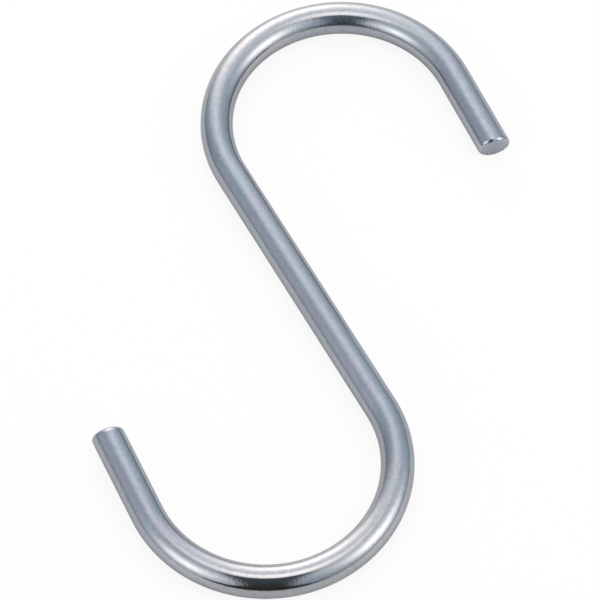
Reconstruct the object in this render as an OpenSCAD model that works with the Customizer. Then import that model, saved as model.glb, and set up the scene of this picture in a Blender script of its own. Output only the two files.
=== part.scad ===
// S hook bent from one length of round wire.
//
// Sizes are in millimetres. The hook lies flat on z = 0, so the middle of its
// wire runs in the plane z = wire_d / 2. The straight shank runs along Y through
// the origin. The upper hook bends over to +X and its leg comes back towards -Y.
// The lower hook is laid out the same way after a half turn: it bends over to -X
// and its leg comes back towards +Y.

/* [Wire] */
// Diameter of the wire
wire_d = 5; // [3:0.1:8]
// Rounding left on both cut ends by tumbling
end_round = 0.6; // [0.1:0.1:1.2]

/* [Shank] */
// Overall length of the hook, over the outsides of its two bends
hook_length = 90; // [75:0.5:160]

/* [Upper hook] */
// Clear width inside the upper bend, which is the thickest rail it hangs on
upper_gap = 33.5; // [15:0.1:45]
// Angle in degrees that the wire turns through in the upper bend
upper_turn = 183.7; // [150:0.1:195]
// Straight leg, from the end of the upper bend to the middle of the cut face
upper_leg = 14.5; // [4:0.1:30]
// Degrees that the upper cut is off square, with the outer side left longer
upper_cut = 8.4; // [0:0.1:12]
// Degrees that the upper cut leans over, with the top side left longer
upper_tilt = 5; // [-8:0.1:8]

/* [Lower hook] */
// Clear width inside the lower bend, which is the thickest loop it carries
lower_gap = 33.5; // [15:0.1:45]
// Angle in degrees that the wire turns through in the lower bend
lower_turn = 183.7; // [150:0.1:195]
// Straight leg, from the end of the lower bend to the middle of the cut face
lower_leg = 14.7; // [4:0.1:30]
// Degrees that the lower cut is off square, with the outer side left longer
lower_cut = 4.6; // [0:0.1:12]
// Degrees that the lower cut leans over, with the top side left longer
lower_tilt = 0; // [-8:0.1:8]

/* [Hidden] */
$fn = 120;

wire_r = wire_d / 2;

// How far the plug that rounds an end stands outside the wire
rim_margin = 0.01;

// Angle that a bend is swept past the shank, to be trimmed off again
trim_sweep = 10;

// A leg's lean from the line of the shank, to the nearest angle whose cosine
// has six decimals, so that bend, shank and leg meet in the same true circles
function true_lean(angle) = sign(angle) * acos(round(1e6 * cos(angle)) / 1e6);

// Radii of the bends, to the middle of the wire
upper_r = upper_gap / 2 + wire_r;
lower_r = lower_gap / 2 + wire_r;

// Where the straight shank meets each bend
shank_top = hook_length / 2 - upper_r - wire_r;
shank_bottom = lower_r + wire_r - hook_length / 2;

// Straight leg along +Z with its cut end. A plug with a rounded rim, set square
// to the slanting cut, shapes the end. It is a hair wider than the wire's section
// there, so that the rim runs out on the wall all the way round.
module leg(length, cut, tilt) {
    off_square = acos(cos(cut) * cos(tilt));
    plug_r = wire_r / cos(off_square) + rim_margin;
    intersection() {
        cylinder(h = length + wire_d, r = wire_r);
        translate([0, 0, length - end_round / cos(off_square)])
            rotate([tilt, -cut, 0])
                rotate_extrude() {
                    translate([0, -2 * length])
                        square(2 * length);
                    square([plug_r - end_round, end_round]);
                    translate([plug_r - end_round, 0])
                        circle(end_round);
                }
    }
}

// One bend and its leg. The wire enters at the origin heading along +Y, and
// turns round a centre at [bend_r, 0]. The bend is swept a little too far and
// then trimmed square to the shank.
module bend_and_leg(bend_r, turn, length, cut, tilt) {
    past_parallel = true_lean(turn - 180);
    reach = bend_r + wire_d;
    translate([bend_r, 0, 0]) {
        difference() {
            rotate([0, 0, -past_parallel])
                rotate_extrude(angle = 180 + past_parallel + trim_sweep)
                    translate([bend_r, 0])
                        circle(wire_r);
            translate([-reach, -reach, -wire_d])
                cube([reach, reach, 2 * wire_d]);
        }
        rotate([0, 0, -past_parallel])
            translate([bend_r, 0, 0])
                rotate([90, 0, 0])
                    leg(length, cut, tilt);
    }
}

module shank() {
    translate([0, shank_bottom, 0])
        rotate([-90, 0, 0])
            cylinder(h = shank_top - shank_bottom, r = wire_r);
}

module hook() {
    color([0.78, 0.80, 0.83])
        translate([0, 0, wire_r]) {
            shank();
            translate([0, shank_top, 0])
                bend_and_leg(upper_r, upper_turn, upper_leg, upper_cut, upper_tilt);
            translate([0, shank_bottom, 0])
                rotate([0, 0, 180])
                    bend_and_leg(lower_r, lower_turn, lower_leg, lower_cut, lower_tilt);
        }
}

hook();
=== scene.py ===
import math

import bpy
import numpy as np
from mathutils import Matrix, Vector


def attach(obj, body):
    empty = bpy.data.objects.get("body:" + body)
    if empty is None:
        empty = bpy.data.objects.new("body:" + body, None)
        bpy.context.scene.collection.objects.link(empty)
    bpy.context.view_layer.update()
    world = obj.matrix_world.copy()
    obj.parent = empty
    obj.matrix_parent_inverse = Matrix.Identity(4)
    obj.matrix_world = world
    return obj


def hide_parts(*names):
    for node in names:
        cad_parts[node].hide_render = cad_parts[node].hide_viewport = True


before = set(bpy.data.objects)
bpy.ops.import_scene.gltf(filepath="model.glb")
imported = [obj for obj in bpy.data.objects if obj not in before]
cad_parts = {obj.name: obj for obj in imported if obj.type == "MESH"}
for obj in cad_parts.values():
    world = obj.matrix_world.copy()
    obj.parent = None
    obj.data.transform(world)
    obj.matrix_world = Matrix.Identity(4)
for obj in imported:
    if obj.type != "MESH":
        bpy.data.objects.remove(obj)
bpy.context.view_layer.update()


# ---------------------------------------------------------------------------
# The wire
# One length of round drawn steel wire, 5 mm thick, sheared to length, tumbled
# so that its cut edges are round, bent cold over a round former into two
# hooks, and then zinc plated bright all over.
# ---------------------------------------------------------------------------

MM = 0.001

# Sizes in millimetres and angles in degrees
wire_thick = 5.0
hook_length = 90.0
clear_gap = 33.5
bend_turn = 183.7
edge_round = 0.6
# Each leg: its length, how far the cut leans outward and how far up, and how
# much rounder its upper edge is worn
upper_leg = (14.5, 8.4, 5.0, 0.15)
lower_leg = (14.7, 4.6, 0.0, 0.35)

# The skin lies a hair inside the solid hook, and a hair above the floor
inset = 0.012
above_floor = 0.002

wire_radius = wire_thick / 2 - inset
wire_height = wire_radius + above_floor
bend_radius = (clear_gap + wire_thick) / 2
shank_half = (hook_length - wire_thick) / 2 - bend_radius

# How finely the mesh follows the wire
around = 96
straight_step = 0.55
bend_step = 0.30
edge_rings = 12
cut_rings = (0.8, 0.6, 0.4, 0.2)

phi = np.linspace(0, 2 * math.pi, around, endpoint=False)
across, rise = np.cos(phi), np.sin(phi)


def half_of_the_wire(leg):
    """Half of the middle line, from mid shank to a tip: points, headings, and 1 where it is bent."""
    turn = math.radians(bend_turn)
    shank = np.linspace(0, shank_half, round(shank_half / straight_step) + 1)[:-1]
    bend = np.linspace(0, turn, round(bend_radius * turn / bend_step) + 1)[:-1]
    along = np.linspace(0, leg, round(leg / straight_step) + 1)
    out = np.array([math.sin(turn), math.cos(turn)])

    def on_the_bend(angle):
        x = bend_radius * (1 - np.cos(angle))
        y = shank_half + bend_radius * np.sin(angle)
        return np.stack([x, y], axis=-1)

    points = np.vstack([
        np.column_stack([0 * shank, shank]),
        on_the_bend(bend),
        on_the_bend(turn) + along[:, None] * out,
    ])
    headings = np.vstack([
        np.column_stack([0 * shank, 0 * shank + 1]),
        np.column_stack([np.sin(bend), np.cos(bend)]),
        np.tile(out, (len(along), 1)),
    ])
    bent = np.concatenate([0 * shank, 0 * bend + 1, 0 * along])
    return points, headings, bent


def middle_line():
    """The whole middle line from the upper tip to the lower tip, and the length along it."""
    upper, upper_way, upper_bent = half_of_the_wire(upper_leg[0])
    lower, lower_way, lower_bent = half_of_the_wire(lower_leg[0])
    points = np.vstack([upper[::-1], -lower[1:]])
    ways = np.vstack([-upper_way[::-1], -lower_way[1:]])
    # the two bends turn to opposite sides
    bent = np.concatenate([upper_bent[::-1], -lower_bent[1:]])
    steps = np.linalg.norm(np.diff(points, axis=0), axis=1)
    return points, ways, bent, np.concatenate([[0], np.cumsum(steps)])


def lean(rho, side, slant, tilt):
    """How far each point of a ring of radius rho stands out on the slanting cut."""
    slant, tilt = math.radians(slant), math.radians(tilt)
    return rho * (side * across * math.tan(slant) + rise * math.tan(tilt) / math.cos(slant))


def rounding(worn):
    """The radius of the round edge at each point of a ring, worn rounder on its upper side."""
    return edge_round + worn * np.maximum(rise, 0) ** 2


def rounded_end(side, slant, tilt, worn):
    """Rings from the wall over the round edge to the middle: radius, how far out, share of cut face."""
    edge = rounding(worn)
    inner = wire_radius - edge
    rings = []
    for a in np.linspace(math.pi / 2, 0, edge_rings + 1):
        rho = inner + edge * math.sin(a)
        stand_out = lean(rho, side, slant, tilt) - edge * (1 - math.cos(a))
        rings.append((rho, stand_out, 1 - math.sin(a)))
    for share in cut_rings:
        rings.append((share * inner, lean(share * inner, side, slant, tilt), 1.0))
    return rings


def swept_rings(points, ways, bent, along):
    """Rings from tip to tip: points, where they lie on the straight wire, stretch, share of cut face."""
    last = len(points) - 1
    tips = ((0, -1, 1, upper_leg), (last, 1, -1, lower_leg))
    rings = []

    def add(i, rho, stand_out, outward, cut):
        way = ways[i]
        sideways = np.array([way[1], -way[0]])
        stand_out = np.broadcast_to(stand_out, phi.shape) * outward
        xy = points[i] + (rho * across)[:, None] * sideways + stand_out[:, None] * way
        rings.append((
            np.column_stack([xy, wire_height + rho * rise]),
            np.column_stack([along[i] + stand_out, rho * across, rho * rise]),
            bent[i] * across,
            np.full(around, cut),
        ))

    for rho, stand_out, cut in reversed(rounded_end(1, *upper_leg[1:])):
        add(0, rho, stand_out, -1, cut)
    for i in range(1, last):
        # the rings of each leg lean over little by little to meet the slanting cut
        stand_out, outward = 0.0, 1
        for tip, out, side, (leg, slant, tilt, worn) in tips:
            from_tip = abs(along[i] - along[tip])
            if from_tip < leg:
                at_the_tip = lean(wire_radius, side, slant, tilt) - rounding(worn)
                stand_out = (1 - from_tip / leg) * at_the_tip
                outward = out
        add(i, wire_radius, stand_out, outward, 0.0)
    for rho, stand_out, cut in rounded_end(-1, *lower_leg[1:]):
        add(last, rho, stand_out, 1, cut)
    return rings


def skin(count):
    """Faces between neighbouring rings, and a fan to the middle of each cut face."""
    last_ring = (count - 1) * around
    upper_middle = count * around
    lower_middle = upper_middle + 1
    faces = []
    for i in range(0, last_ring, around):
        for j in range(around):
            k = (j + 1) % around
            faces.append((i + j, i + k, i + around + k, i + around + j))
    for j in range(around):
        k = (j + 1) % around
        faces.append((upper_middle, k, j))
        faces.append((lower_middle, last_ring + j, last_ring + k))
    return faces


def bent_wire():
    """The whole wire, with three values at each point that its finish needs."""
    points, ways, bent, along = middle_line()
    rings = swept_rings(points, ways, bent, along)
    verts, unbent, stretch, cut_face = (np.concatenate([ring[n] for ring in rings]) for n in range(4))
    verts = np.vstack([verts, [*points[0], wire_height], [*points[-1], wire_height]])
    unbent = np.vstack([unbent, [along[0], 0, 0], [along[-1], 0, 0]])

    mesh = bpy.data.meshes.new("bent_wire")
    mesh.from_pydata((verts * MM).tolist(), [], skin(len(rings)))
    place = mesh.attributes.new("unbent", "FLOAT_VECTOR", "POINT")
    place.data.foreach_set("vector", unbent.ravel().tolist())
    for name, values, at_middle in (("stretch", stretch, 0), ("cut_face", cut_face, 1)):
        made = mesh.attributes.new(name, "FLOAT", "POINT")
        made.data.foreach_set("value", values.tolist() + [at_middle, at_middle])
    mesh.polygons.foreach_set("use_smooth", [True] * len(mesh.polygons))
    mesh.update()
    piece = bpy.data.objects.new("bent_wire", mesh)
    bpy.context.scene.collection.objects.link(piece)
    return piece


wire = bent_wire()
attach(wire, "root")
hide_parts("hook")


# ---------------------------------------------------------------------------
# The zinc plating
# A thin bright coat over the drawn wire. It shows the fine lines of the
# drawing die, a faint green and lilac bloom, cloudy patches of gloss, crazed,
# rubbed and hazy places where the wire was bent, and duller sheared ends.
# ---------------------------------------------------------------------------

plate_colour = (0.377, 0.400, 0.440)
edge_dimming = (0.78, 0.78, 0.78, 1)
lilac_bloom, green_bloom, no_bloom = (1.035, 0.974, 1.018), (0.966, 1.016, 0.996), (1.0, 1.0, 1.0)
bloom_lost_in_bends = 0.65
straight_tint, bent_tint = (0.978, 1.0, 1.0), (1.025, 1.0, 0.965)
haze_tint = (0.83, 1.0, 1.22)
haze_rough = 0.50

# Patterns: how many to the millimetre along, across and up through the wire,
# then their detail, how rough they are and how twisted
clouds = ((1.5, 2.2, 2.2), 4.0, 0.62, 0.4)
bloom_patches = ((0.22, 0.34, 0.34), 4.0, 0.65, 0.8)
fine_grain = ((7.0, 8.0, 8.0), 2.0, 0.6)
die_lines = ((0.05, 9.0, 9.0), 2.0, 0.55)
grooves = ((0.035, 3.1, 3.1), 1.0, 0.4)
hairlines = ((0.45, 11.0, 11.0), 1.0, 0.3)
rub_marks = ((0.9, 3.5, 3.5), 3.0, 0.6)
cracks = ((4.5, 1.3, 1.3), 3.0, 0.6)
haze_streaks = ((6.5, 1.6, 1.6), 2.0, 0.6)
blade_lines = ((1.0, 1.6, 7.5), 3.0, 0.6, 0.5)
torn_pits = ((2.0, 3.4, 3.4), 3.0, 0.65)
rim_nicks = ((1.4, 1.7, 1.7), 2.0, 0.5)
hairline_turn = (0.0, 0.35, 0.5)

# Where a pattern starts to show and where it shows in full. Most of a
# pattern's values lie in the usual range.
usual = (0.30, 0.70)
bloom_edges = (0.38, 0.62)
groove_edges = (0.66, 0.74)
hairline_edges = (0.71, 0.76)
haze_edges, haze_share = (0.42, 0.62), (0.08, 0.27)
blade_edges = (0.35, 0.65)
pit_edges = (0.60, 0.70)
nick_edges = (0.42, 0.70)

# The parts of a tip, by their share of cut face
face_edges, rim_edges, wall_edges = (0.45, 0.95), (0.0, 0.3), (0.1, 0.6)

# Mid shank, in millimetres along the wire from the upper tip, and the places
# of the marks, in millimetres from mid shank
wire_middle = upper_leg[0] + bend_radius * math.radians(bend_turn) + shank_half
bend_begins, bend_ends = (24.0, 46.0), (86.0, 62.0)
roller_place, roller_reach = 63.0, (12.0, 6.0)
upper_end = (10, -10)

# Places round the wire, by how far it is stretched, from -1 inside a bend to 1 outside
inside_edges, crazed_edges, hazed_edges = (-0.2, -0.8), (0.1, 0.6), (0.4, -0.3)

# How much each mark lightens or darkens the plate, as a share of its colour
cloud_shade, grain_shade, die_shade = 0.09, 0.055, 0.04
hairline_shade, groove_shade, rub_shade = 0.10, -0.05, -0.03
blade_shades, pit_shade = (-0.10, 0.18), -0.20

# How rough the plate is from cloud to cloud, and what the marks add
plate_rough = (0.070, 0.105)
rub_rough, rim_rough = 0.05, 0.03
blade_rough, pit_rough = (0.16, 0.30), 0.12

# How high each mark stands, in thousandths of a millimetre
relief_unit = 0.001 * MM
die_height, groove_height, hairline_height = 0.5, -0.9, -0.6
cloud_height, grain_height = 2.4, 0.45
crack_height, rub_height = 16.0, 0.8
nick_height, blade_height, pit_height = -24.0, 12.0, -14.0


class Recipe:
    """Short words for the nodes of one material."""

    def __init__(self, name):
        self.material = bpy.data.materials.new(name)
        self.material.use_nodes = True
        self.nodes = self.material.node_tree.nodes
        self.links = self.material.node_tree.links
        self.nodes.clear()

    def node(self, kind, **settings):
        made = self.nodes.new("ShaderNode" + kind)
        for key, value in settings.items():
            setattr(made, key, value)
        return made

    def feed(self, socket, value):
        """Put a number, a colour or another node's result into a socket."""
        if isinstance(value, bpy.types.NodeSocket):
            self.links.new(value, socket)
        else:
            socket.default_value = value

    def maths(self, operation, *values):
        made = self.node("Math", operation=operation)
        for socket, value in zip(made.inputs, values):
            self.feed(socket, value)
        return made.outputs[0]

    def total(self, *values):
        result = values[0]
        for v in values[1:]:
            result = self.maths("ADD", result, v)
        return result

    def times(self, *values):
        result = values[0]
        for v in values[1:]:
            result = self.maths("MULTIPLY", result, v)
        return result

    def spread(self, value, low, high, to_low=0.0, to_high=1.0, soft=True):
        """A value between low and high, carried over to between to_low and to_high."""
        made = self.node("MapRange", interpolation_type="SMOOTHSTEP" if soft else "LINEAR")
        ends = (("From Min", low), ("From Max", high), ("To Min", to_low), ("To Max", to_high))
        for name, v in (("Value", value), *ends):
            self.feed(made.inputs[name], v)
        return made.outputs["Result"]

    def stretched(self, place, scales):
        made = self.node("VectorMath", operation="MULTIPLY")
        self.feed(made.inputs[0], place)
        self.feed(made.inputs[1], scales)
        return made.outputs[0]

    def dot(self, place, direction):
        made = self.node("VectorMath", operation="DOT_PRODUCT")
        self.feed(made.inputs[0], place)
        self.feed(made.inputs[1], direction)
        return made.outputs["Value"]

    def noise(self, place, scales, detail=2.0, rough=0.5, twist=0.0):
        made = self.node("TexNoise")
        self.feed(made.inputs["Vector"], self.stretched(place, scales))
        settings = (("Scale", 1.0), ("Detail", detail), ("Roughness", rough), ("Distortion", twist))
        for name, v in settings:
            self.feed(made.inputs[name], v)
        return made.outputs["Fac"]

    def blend(self, share, a, b, kind="MIX"):
        """Two colours mixed, or multiplied with the kind MULTIPLY."""
        made = self.node("Mix", data_type="RGBA", blend_type=kind)
        for socket, v in ((made.inputs[0], share), (made.inputs[6], a), (made.inputs[7], b)):
            self.feed(socket, (*v, 1) if isinstance(v, tuple) and len(v) == 3 else v)
        return made.outputs[2]

    def glow(self, colour, strength):
        made = self.node("Emission")
        self.feed(made.inputs["Color"], colour)
        self.feed(made.inputs["Strength"], strength)
        return made.outputs[0]

    def mixed(self, share, a, b):
        """Two shaders mixed."""
        made = self.node("MixShader")
        for socket, v in zip(made.inputs, (share, a, b)):
            self.feed(socket, v)
        return made.outputs[0]

    def done(self, shader):
        self.feed(self.node("OutputMaterial").inputs["Surface"], shader)
        return self.material


class WireMarks:
    """Every mark on the wire, as a number over its surface."""

    def __init__(self, r):
        # millimetres along the wire, across it and up through it, before it was bent
        place = r.node("Attribute", attribute_name="unbent").outputs["Vector"]
        cut = r.node("Attribute", attribute_name="cut_face").outputs["Fac"]
        stretch = r.node("Attribute", attribute_name="stretch").outputs["Fac"]
        self.face = r.spread(cut, *face_edges)
        self.rim = r.times(r.spread(cut, *rim_edges), r.maths("SUBTRACT", 1.0, self.face))
        self.wall = r.maths("SUBTRACT", 1.0, r.spread(cut, *wall_edges))

        # the coat: clouds half a millimetre across, a slow bloom of colour, and a grain like fine leather
        self.cloud = r.noise(place, *clouds)
        self.bloom = r.noise(place, *bloom_patches)
        self.grain = r.noise(place, *fine_grain)
        # the drawing die: close lines along the wire, with a few deeper ones
        self.die = r.noise(place, *die_lines)
        self.groove = r.spread(r.noise(place, *grooves), *groove_edges)
        # handling: sparse hairlines that run nearly along the wire
        turned = r.node("VectorRotate", rotation_type="EULER_XYZ")
        r.feed(turned.inputs["Vector"], place)
        r.feed(turned.inputs["Rotation"], hairline_turn)
        self.hairline = r.spread(r.noise(turned.outputs[0], *hairlines), *hairline_edges)

        # the bends: crazed crossways where the bending roller pressed hardest, and rubbed on the inside
        along = r.node("SeparateXYZ")
        r.feed(along.inputs[0], place)
        from_middle = r.maths("ABSOLUTE", r.maths("SUBTRACT", along.outputs["X"], wire_middle))
        self.bent = r.times(r.spread(from_middle, *bend_begins), r.spread(from_middle, *bend_ends))
        from_roller = r.maths("ABSOLUTE", r.maths("SUBTRACT", from_middle, roller_place))
        pressed = r.spread(from_roller, *roller_reach)
        inside = r.spread(stretch, *inside_edges)
        self.rub = r.times(inside, r.noise(place, *rub_marks))
        crazed = r.spread(r.maths("ABSOLUTE", stretch), *crazed_edges)
        self.crack = r.times(pressed, crazed, r.noise(place, *cracks))
        # a haze in fine cross streaks, on the upper bend only
        upper = r.spread(along.outputs["X"], *(wire_middle + v for v in upper_end))
        streaks = r.spread(r.noise(place, *haze_streaks), *haze_edges, *haze_share)
        self.haze = r.times(pressed, upper, r.spread(stretch, *hazed_edges), streaks)

        # the cut ends: lines left by the blade, torn pits, and nicks on the rounded rim
        self.blade = r.noise(place, *blade_lines)
        self.pits = r.spread(r.noise(place, *torn_pits), *pit_edges)
        self.nicks = r.spread(r.noise(place, *rim_nicks), *nick_edges)


def plate_colours(r, marks):
    """The bluish coat with its bloom, yellower where it is bent, and each mark's light and dark."""
    tint = r.blend(r.spread(marks.bloom, *bloom_edges), green_bloom, lilac_bloom)
    tint = r.blend(r.times(marks.bent, bloom_lost_in_bends), tint, no_bloom)
    tint = r.blend(1.0, tint, r.blend(marks.bent, straight_tint, bent_tint), "MULTIPLY")
    grain = r.spread(marks.grain, *usual, -grain_shade, grain_shade, soft=False)
    die = r.spread(marks.die, *usual, -die_shade, die_shade, soft=False)
    shade = r.total(
        r.spread(marks.cloud, *usual, 1 - cloud_shade, 1 + cloud_shade, soft=False),
        r.times(grain, marks.wall),
        r.times(die, marks.wall),
        r.times(marks.hairline, marks.wall, hairline_shade),
        r.times(marks.groove, marks.wall, groove_shade),
        r.times(marks.rub, rub_shade),
        r.times(marks.face, r.spread(marks.blade, *blade_edges, *blade_shades, soft=False)),
        r.times(marks.face, marks.pits, pit_shade),
    )
    grey = r.node("CombineColor")
    for socket in grey.inputs:
        r.feed(socket, shade)
    return r.blend(1.0, r.blend(1.0, plate_colour, tint, "MULTIPLY"), grey.outputs[0], "MULTIPLY")


def plate_roughness(r, marks):
    return r.total(
        r.spread(marks.cloud, *usual, *plate_rough, soft=False),
        r.times(marks.rub, rub_rough),
        r.times(marks.rim, rim_rough),
        r.times(marks.face, r.spread(marks.blade, *usual, *blade_rough, soft=False)),
        r.times(marks.face, marks.pits, pit_rough),
    )


def plate_relief(r, marks):
    bump = r.node("Bump")
    r.feed(bump.inputs["Strength"], 1.0)
    r.feed(bump.inputs["Distance"], relief_unit)
    r.feed(bump.inputs["Height"], r.total(
        r.times(marks.wall, marks.die, die_height),
        r.times(marks.wall, marks.groove, groove_height),
        r.times(marks.wall, marks.hairline, hairline_height),
        r.times(marks.cloud, cloud_height),
        r.times(marks.grain, grain_height),
        r.times(marks.crack, crack_height),
        r.times(marks.rub, rub_height),
        r.times(marks.rim, marks.nicks, nick_height),
        r.times(marks.face, marks.blade, blade_height),
        r.times(marks.face, marks.pits, pit_height),
    ))
    return bump.outputs["Normal"]


def plated_steel():
    r = Recipe("bright_zinc_plate")
    marks = WireMarks(r)
    colour = plate_colours(r, marks)

    metal = r.node("BsdfPrincipled")
    r.feed(metal.inputs["Metallic"], 1.0)
    r.feed(metal.inputs["Specular Tint"], edge_dimming)
    r.feed(metal.inputs["Base Color"], colour)
    r.feed(metal.inputs["Roughness"], plate_roughness(r, marks))
    r.feed(metal.inputs["Normal"], plate_relief(r, marks))
    # a thin haze that scatters light widely, on the inside of the upper bend
    haze = r.node("BsdfPrincipled")
    r.feed(haze.inputs["Metallic"], 1.0)
    r.feed(haze.inputs["Base Color"], r.blend(1.0, colour, haze_tint, "MULTIPLY"))
    r.feed(haze.inputs["Roughness"], haze_rough)
    return r.done(r.mixed(marks.haze, metal.outputs[0], haze.outputs[0]))


wire.data.materials.append(plated_steel())


# ---------------------------------------------------------------------------
# The light tent
# A round tent of white cloth about a metre across, glowing as if lit from
# outside by four soft lamps and a wash of light, with a dark upright slot where it
# opens. It lights the floor and shows in the wire, and the camera doesn't see it.
# ---------------------------------------------------------------------------

tent_radius = 0.52
tent_sides, tent_rings = 128, 40

# The cloth's own brightness: dim at the foot, brighter up the wall, and a
# darker round patch over the top. Heights are shares of the tent's radius.
foot_bright, wall_bright, shoulder_bright, roof_bright = 0.30, 0.50, 0.71, 0.36
foot_low, foot_high = 0.02, 0.15
wall_low, wall_high = 0.25, 0.95
roof_low, roof_high = 0.86, 0.95
cloth_colour = (0.875, 1.0, 1.14, 1)
brighter_side = (0.17, -0.08, 0)

# The lamps' glows on the cloth: direction round and up in degrees, half width
# and half height as shares of the tent's radius, strength, and how sharply
# they fade
lamp_fade, wash_fade = 2.0, 6.0
right_lamp = (43, 35, 0.35, 0.37, 2.25, lamp_fade)
back_lamp = (162, 22, 0.40, 0.48, 2.35, lamp_fade)
left_lamp = (281, 31, 0.27, 0.31, 1.7, lamp_fade)
top_lamp = (150, 86, 0.30, 0.30, 1.9, lamp_fade)
left_wash = (280, 23, 0.74, 0.64, 0.31, wash_fade)
glow_colour = (1.094, 1.0, 0.913, 1)

# The slot: its direction, half widths left and right, how much wider each side
# is at the foot, the height over which it narrows, its soft edges, and how far
# short of the top it ends
slot_round = 331
slot_left, slot_right = 0.255, 0.205
foot_left, foot_right = 0.35, 0.32
foot_height = 0.21
slot_soft = 0.04
slot_top, slot_top_soft = 0.19, 0.02

# How dark it is at the foot and at the top, and its colour there
slot_low, slot_high = 0.04, 0.135
slot_low_colour, slot_high_colour = (1.06, 1.0, 0.80), (0.83, 1.0, 1.16)
slot_colour_edges = (0.2, 0.8)


def toward(az, el):
    """The direction az degrees round from the front, anticlockwise from above, and el degrees up."""
    az, el = math.radians(az), math.radians(el)
    return Vector((math.sin(az) * math.cos(el), -math.cos(az) * math.cos(el), math.sin(el)))


def cloth_light(r, place, height):
    cloth = r.total(
        r.spread(height, foot_low, foot_high, foot_bright, wall_bright),
        r.spread(height, wall_low, wall_high, 0.0, shoulder_bright - wall_bright, soft=False),
        r.spread(height, roof_low, roof_high, 0.0, roof_bright - shoulder_bright),
    )
    return r.times(cloth, r.total(r.dot(place, brighter_side), 1.0))


def lamp_light(r, place):
    """The glows of all lamps together. Each fades from its middle as exp(-distance ** fade)."""
    light = 0.0
    for az, el, wide, tall, strength, fade in (right_lamp, back_lamp, left_lamp, top_lamp, left_wash):
        h = r.maths("DIVIDE", r.dot(place, toward(az + 90, 0)), wide)
        v = r.maths("DIVIDE", r.dot(place, toward(az, el + 90)), tall)
        off = r.total(r.times(h, h), r.times(v, v))
        glow = r.maths("EXPONENT", r.times(r.maths("POWER", off, fade / 2), -1))
        same_side = r.maths("GREATER_THAN", r.dot(place, toward(az, el)), 0.0)
        light = r.total(light, r.times(glow, same_side, strength))
    return light


def slot_share(r, place, height):
    """1 in the slot and 0 on the cloth."""
    side = r.dot(place, toward(slot_round + 90, 0))
    front = r.dot(place, toward(slot_round, 0))
    low = r.maths("DIVIDE", height, foot_height)
    foot = r.maths("EXPONENT", r.times(low, low, -1))
    left = r.total(r.times(foot, foot_left), r.maths("ADD", side, slot_left))
    right = r.total(r.times(foot, foot_right), r.maths("SUBTRACT", slot_right, side))
    return r.times(
        r.spread(left, -slot_soft, slot_soft),
        r.spread(right, -slot_soft, slot_soft),
        r.spread(front, slot_top - slot_top_soft, slot_top + slot_top_soft),
    )


def tent_material():
    r = Recipe("lit_cloth")
    middle = r.node("VectorMath", operation="SCALE")
    r.feed(middle.inputs[0], r.node("TexCoord").outputs["Object"])
    r.feed(middle.inputs["Scale"], 1 / tent_radius)
    place = middle.outputs[0]
    height = r.dot(place, (0, 0, 1))

    both = r.node("AddShader")
    r.feed(both.inputs[0], r.glow(cloth_colour, cloth_light(r, place, height)))
    r.feed(both.inputs[1], r.glow(glow_colour, lamp_light(r, place)))
    dark = r.total(r.times(height, height, slot_high - slot_low), slot_low)
    dark_colour = r.blend(r.spread(height, *slot_colour_edges), slot_low_colour, slot_high_colour)
    return r.done(r.mixed(slot_share(r, place, height), both.outputs[0], r.glow(dark_colour, dark)))


def tent():
    """A dome of rings of points, closed by one point at the top."""
    verts = []
    for i in range(tent_rings):
        for j in range(tent_sides):
            verts.append(tent_radius * toward(360 * j / tent_sides, 90 * i / tent_rings))
    top = len(verts)
    verts.append((0, 0, tent_radius))
    faces = []
    for i in range(tent_rings):
        for j in range(tent_sides):
            a, b = i * tent_sides + j, i * tent_sides + (j + 1) % tent_sides
            last = i == tent_rings - 1
            faces.append((a, b, top) if last else (a, b, b + tent_sides, a + tent_sides))
    mesh = bpy.data.meshes.new("light_tent")
    mesh.from_pydata(verts, [], faces)
    mesh.update()
    made = bpy.data.objects.new("light_tent", mesh)
    bpy.context.scene.collection.objects.link(made)
    mesh.materials.append(tent_material())
    made.visible_camera = False
    return made


tent()


# ---------------------------------------------------------------------------
# The floor
# A plain pale sheet with white all round it. The camera sees it near white,
# with the soft shadow that the wire throws on it, and the wire mirrors it.
# ---------------------------------------------------------------------------

floor_half = 4.0
floor_colour = (0.885, 0.87, 0.85, 1)
floor_rough = 0.35
white_to_camera = 0.88
white_to_metal = 0.10
white = (1, 1, 1, 1)


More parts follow.
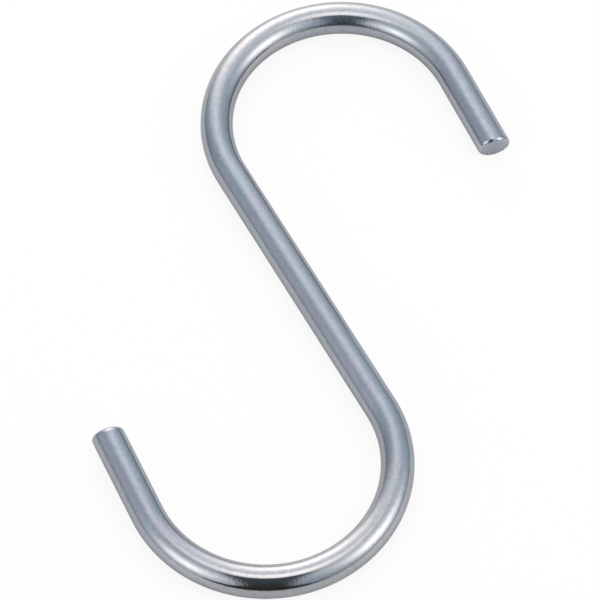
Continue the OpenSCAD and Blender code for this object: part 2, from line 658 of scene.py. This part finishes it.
def floor_material():
    r = Recipe("pale_floor")
    paper = r.node("BsdfPrincipled")
    r.feed(paper.inputs["Base Color"], floor_colour)
    r.feed(paper.inputs["Roughness"], floor_rough)
    path = r.node("LightPath").outputs
    to_camera = r.times(path["Is Camera Ray"], white_to_camera)
    mirrored = r.maths("MAXIMUM", path["Is Glossy Ray"], path["Is Transmission Ray"])
    to_metal = r.times(mirrored, white_to_metal)
    whitened = r.maths("MAXIMUM", to_camera, to_metal)
    return r.done(r.mixed(whitened, paper.outputs[0], r.glow(white, 1.0)))


def floor_sheet():
    mesh = bpy.data.meshes.new("floor")
    h = floor_half
    mesh.from_pydata([(-h, -h, 0), (h, -h, 0), (h, h, 0), (-h, h, 0)], [], [(0, 1, 2, 3)])
    mesh.update()
    sheet = bpy.data.objects.new("floor", mesh)
    bpy.context.scene.collection.objects.link(sheet)
    mesh.materials.append(floor_material())
    return sheet


floor_sheet()

room = bpy.data.worlds.new("room")
bpy.context.scene.world = room
room.use_nodes = True
room.node_tree.nodes["Background"].inputs["Color"].default_value = white
room.node_tree.nodes["Background"].inputs["Strength"].default_value = 1.0


# ---------------------------------------------------------------------------
# The camera
# It looks down on the hook from the front left, from outside the tent and
# through its slot.
# ---------------------------------------------------------------------------

camera_aim = Vector((-1.61, -1.36, 2.51)) * MM
camera_distance = 617.7 * MM
camera_round, camera_up, camera_roll = -27.58, 60.2, 1.48
camera_lens, film_width = 246.4, 36
nearest_seen, farthest_seen = 0.01, 20

roll = math.radians(camera_roll)
back = toward(camera_round, camera_up)
level = (-back).cross(Vector((0, 0, 1))).normalized()
upright = level.cross(-back)
camera_x = math.cos(roll) * level - math.sin(roll) * upright
camera_y = math.sin(roll) * level + math.cos(roll) * upright
camera_data = bpy.data.cameras.new("camera")
camera_data.sensor_width = film_width
camera_data.lens = camera_lens
camera_data.clip_start, camera_data.clip_end = nearest_seen, farthest_seen
camera = bpy.data.objects.new("camera", camera_data)
bpy.context.scene.collection.objects.link(camera)
turned = Matrix((camera_x, camera_y, back)).transposed().to_4x4()
camera.matrix_world = Matrix.Translation(camera_aim + back * camera_distance) @ turned
bpy.context.scene.camera = camera

bpy.context.scene.view_settings.view_transform = "Standard"
